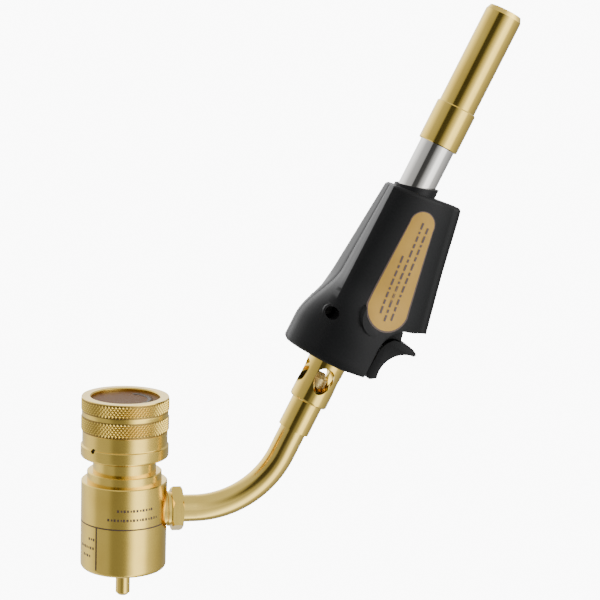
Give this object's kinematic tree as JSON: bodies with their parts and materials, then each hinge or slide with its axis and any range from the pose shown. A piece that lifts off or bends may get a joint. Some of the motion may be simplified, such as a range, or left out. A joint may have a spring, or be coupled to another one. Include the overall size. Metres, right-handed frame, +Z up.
{
  "type": "gas torch head",
  "caption": "Self-igniting gas torch head: cylinder-mounted brass regulator with knurled knob, bent swivel tube, black trigger housing and brass burner tip.",
  "frame": {"origin": "on the regulator's axis, in the plane of the body's bottom rim, where the gas cylinder screws in", "axes": "+Z up through the adjusting knob, +X along the outlet towards the burner arm, -Y the side with the trigger housing's label"},
  "size_m": [0.1509, 0.036, 0.2093],
  "materials": {
    "brass_body": "turned brass, polished",
    "brass_knurled": "turned and diamond-knurled brass",
    "brass_tube": "drawn brass tube, polished",
    "brass_internal": "as machined",
    "bronze_dial": "brown-toned dish with curved arrow",
    "steel_tube": "drawn stainless tube",
    "steel_parts": "plain steel",
    "spring_steel": "drawn wire",
    "black_plastic": "black moulded plastic, satin",
    "cream_plastic": "moulded plastic",
    "label_gold": "gold printed sticker with dark rim",
    "rubber_black": "moulded rubber",
    "ceramic_white": "glazed ceramic"
  },
  "bodies": {
    "regulator": {"regulator_body": "brass_body", "inlet_probe": "brass_body", "socket_seal": "rubber_black", "inlet_filter": "bronze_dial", "valve_seat": "brass_internal", "poppet_spring": "spring_steel", "diaphragm": "rubber_black", "bonnet": "brass_body", "regulating_spring": "spring_steel", "outlet_nipple": "brass_body", "swivel_seal": "rubber_black", "union_nut": "brass_body"},
    "valve": {"valve_poppet": "steel_parts", "diaphragm_plate": "steel_parts"},
    "spring_button": {"spring_button": "steel_parts"},
    "knob": {"knob_stem": "steel_parts", "knob": "brass_knurled", "knob_dial": "bronze_dial", "knob_pin": "steel_parts"},
    "burner_arm": {"bent_tube": "brass_tube", "swivel_collar": "brass_internal", "orifice_sleeve": "brass_body", "jet_nozzle": "brass_internal", "mixer_body": "brass_body", "burn_tube": "steel_tube", "burner_collar": "brass_body", "burner_tip": "brass_body", "flame_holder": "brass_internal", "electrode_insulator": "ceramic_white", "spark_electrode": "steel_parts", "ignition_lead": "rubber_black", "housing_near": "black_plastic", "housing_far": "black_plastic", "housing_screws": "steel_parts", "trigger_spring": "spring_steel", "piezo_case": "black_plastic"},
    "trigger": {"trigger": "black_plastic", "piezo_plunger": "cream_plastic"}
  },
  "joints": [
    {"name": "knob_lift", "type": "slide", "parent": "regulator", "child": "spring_button", "axis": [0, 0, 1], "range_m": [-0.0038, 0], "deforming": ["regulating_spring"]},
    {"name": "knob_turn", "type": "hinge", "parent": "spring_button", "child": "knob", "pos_m": [0, 0, 0.05], "axis": [0, 0, 1], "range_deg": [-1080, 0]},
    {"name": "valve_open", "type": "slide", "parent": "regulator", "child": "valve", "axis": [0, 0, 1], "range_m": [-0.0005, 0], "deforming": ["poppet_spring", "diaphragm"]},
    {"name": "arm_swivel", "type": "hinge", "parent": "regulator", "child": "burner_arm", "pos_m": [0.018, 0, 0.0203], "axis": [1, 0, 0], "continuous": true},
    {"name": "trigger_pull", "type": "slide", "parent": "burner_arm", "child": "trigger", "axis": [0.2334, 0, 0.9724], "range_m": [0, 0.0043], "stiffness_N_per_m": 900, "springref_m": -0.004, "deforming": ["trigger_spring"]}
  ],
  "couplings": [
    {"joint": "knob_lift", "follows": "knob_turn", "m_per_rad": 0.00019894},
    {"joint": "valve_open", "follows": "knob_turn", "m_per_rad": 0.000025995}
  ]
}
